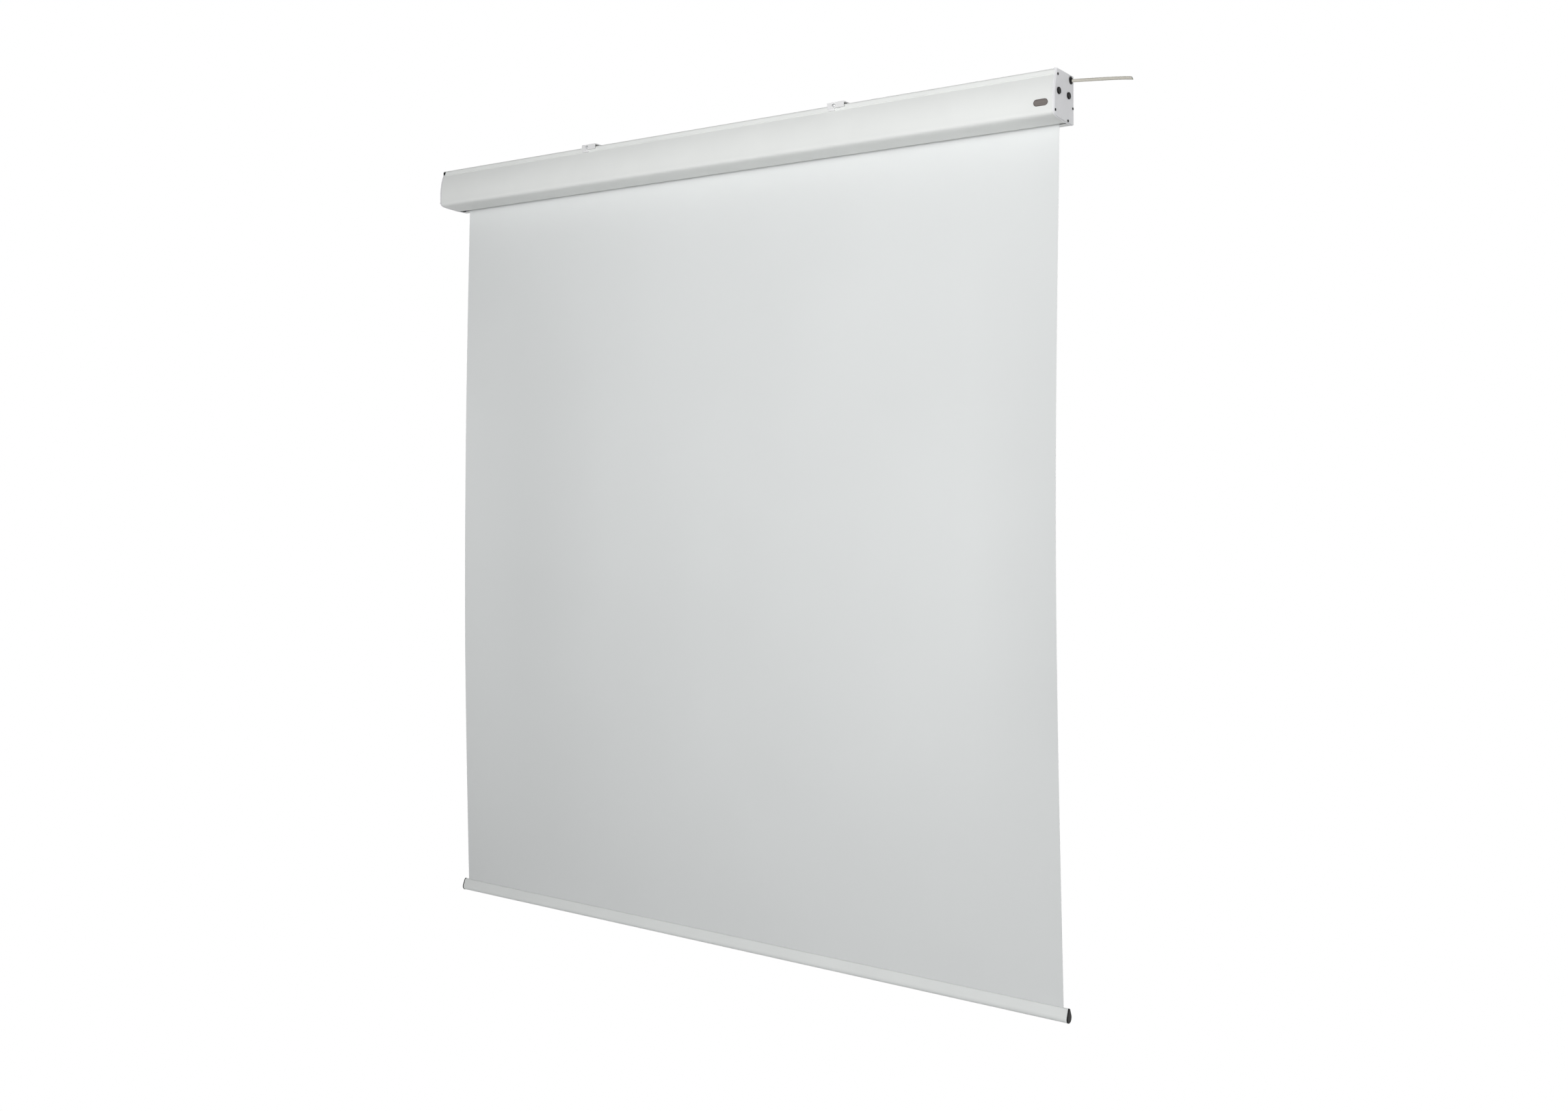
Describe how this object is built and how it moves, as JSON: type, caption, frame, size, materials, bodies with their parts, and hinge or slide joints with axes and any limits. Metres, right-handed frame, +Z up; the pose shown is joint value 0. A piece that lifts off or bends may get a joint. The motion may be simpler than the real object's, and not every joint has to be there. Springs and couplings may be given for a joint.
{
  "type": "motorized projection screen",
  "caption": "Ceiling or wall mounted roll-down projection screen: long white case with a tubular motor in its roller, matt white fabric and a weighted bottom bar.",
  "frame": {"origin": "midway between the two hangers, on the plane of their top faces that meet the ceiling, above the middle of the case's flat top", "axes": "+X along the case towards the motor and the power lead, +Y to the back (the wall), +Z up; the screen faces -Y"},
  "size_m": [1.7661, 0.0932, 1.8043],
  "materials": {
    "case_paint": "satin white powder coat on extruded aluminium",
    "end_plate_paint": "satin pale grey paint on die-cast end plates",
    "hanger_paint": "satin white powder coat on 2 mm sheet steel",
    "black_plastic": "moulded black plastic with a fine grain",
    "black_screw": "blackened steel pan-head screws",
    "badge": "dark brown anodised plate with a bright raised rim",
    "lead_sheath": "pale grey-beige flexible sheath",
    "lead_core": "four insulated copper cores seen at the cut end",
    "grey_plastic": "glass-filled grey plastic",
    "zinc_steel": "zinc plated steel",
    "plain_steel": "galvanised or bright steel",
    "motor_paint": "dark grey paint on a drawn steel tube",
    "gearmotor_body": "bare die-cast and laminated cartridge",
    "projection_cloth": "matt white coated projection fabric",
    "bar_aluminium": "satin pale grey finish on an extruded aluminium tube"
  },
  "bodies": {
    "case": {"badge_plate": "badge", "cable_gland": "black_plastic", "cable_gland_nut": "grey_plastic", "case_back_rail": "case_paint", "case_front_cover": "case_paint", "end_plate_left": "end_plate_paint", "end_plate_right": "end_plate_paint", "end_screw_left_1": "black_screw", "end_screw_left_2": "black_screw", "end_screw_left_3": "black_screw", "end_screw_left_4": "black_screw", "end_screw_right_1": "black_screw", "end_screw_right_2": "black_screw", "end_screw_right_3": "black_screw", "end_screw_right_4": "black_screw", "gearmotor": "gearmotor_body", "idler_bracket": "zinc_steel", "idler_bracket_screw_1": "zinc_steel", "idler_bracket_screw_2": "zinc_steel", "idler_pin": "plain_steel", "lead_inside": "lead_sheath", "limit_plug_back": "black_plastic", "limit_plug_front": "black_plastic", "limit_switch_unit": "grey_plastic", "motor_bracket": "zinc_steel", "motor_bracket_screw_1": "zinc_steel", "motor_bracket_screw_2": "zinc_steel", "motor_brake": "motor_paint", "motor_capacitor": "grey_plastic", "motor_casing": "motor_paint", "motor_head": "grey_plastic", "motor_head_screw_1": "zinc_steel", "motor_head_screw_2": "zinc_steel", "power_lead": "lead_sheath", "power_lead_cores": "lead_core", "projection_fabric": "projection_cloth", "rail_end_stop": "black_plastic"},
    "roller": {"roller_tube": "plain_steel", "wound_fabric": "projection_cloth", "drive_wheel": "grey_plastic", "drive_wheel_screw": "zinc_steel", "drive_wheel_clip": "zinc_steel", "output_shaft": "plain_steel", "crown_ring": "grey_plastic", "idler_plug": "grey_plastic", "idler_bush": "black_plastic"},
    "bottom_bar": {"bar_tube": "bar_aluminium", "bar_cap_left": "black_plastic", "bar_cap_right": "black_plastic", "hem_rod": "plain_steel", "fabric_hem": "projection_cloth"},
    "limit_screw_up": {"limit_screw_up": "zinc_steel"},
    "limit_screw_down": {"limit_screw_down": "zinc_steel"},
    "hanger_left": {"hanger_left_hook": "hanger_paint", "hanger_left_screw": "zinc_steel", "hanger_left_nut": "zinc_steel"},
    "hanger_right": {"hanger_right_hook": "hanger_paint", "hanger_right_screw": "zinc_steel", "hanger_right_nut": "zinc_steel"}
  },
  "joints": [
    {"name": "screen_lift", "type": "slide", "parent": "case", "child": "bottom_bar", "axis": [0, 0, 1], "range_m": [0, 1.673], "deforming": ["projection_fabric"]},
    {"name": "roller_turn", "type": "hinge", "parent": "case", "child": "roller", "pos_m": [0, -0.0045, -0.04665], "axis": [1, 0, 0], "range_deg": [-10, 3290]},
    {"name": "limit_up_turn", "type": "hinge", "parent": "case", "child": "limit_screw_up", "pos_m": [0.81, -0.0325, -0.04665], "axis": [1, 0, 0], "continuous": true},
    {"name": "limit_down_turn", "type": "hinge", "parent": "case", "child": "limit_screw_down", "pos_m": [0.81, 0.0137, -0.04665], "axis": [1, 0, 0], "continuous": true},
    {"name": "hanger_left_slide", "type": "slide", "parent": "case", "child": "hanger_left", "axis": [1, 0, 0], "range_m": [-0.44, 0.3]},
    {"name": "hanger_right_slide", "type": "slide", "parent": "case", "child": "hanger_right", "axis": [1, 0, 0], "range_m": [-0.3, 0.44]}
  ],
  "couplings": [
    {"joint": "roller_turn", "follows": "screen_lift", "rad_per_m": 34.13}
  ]
}
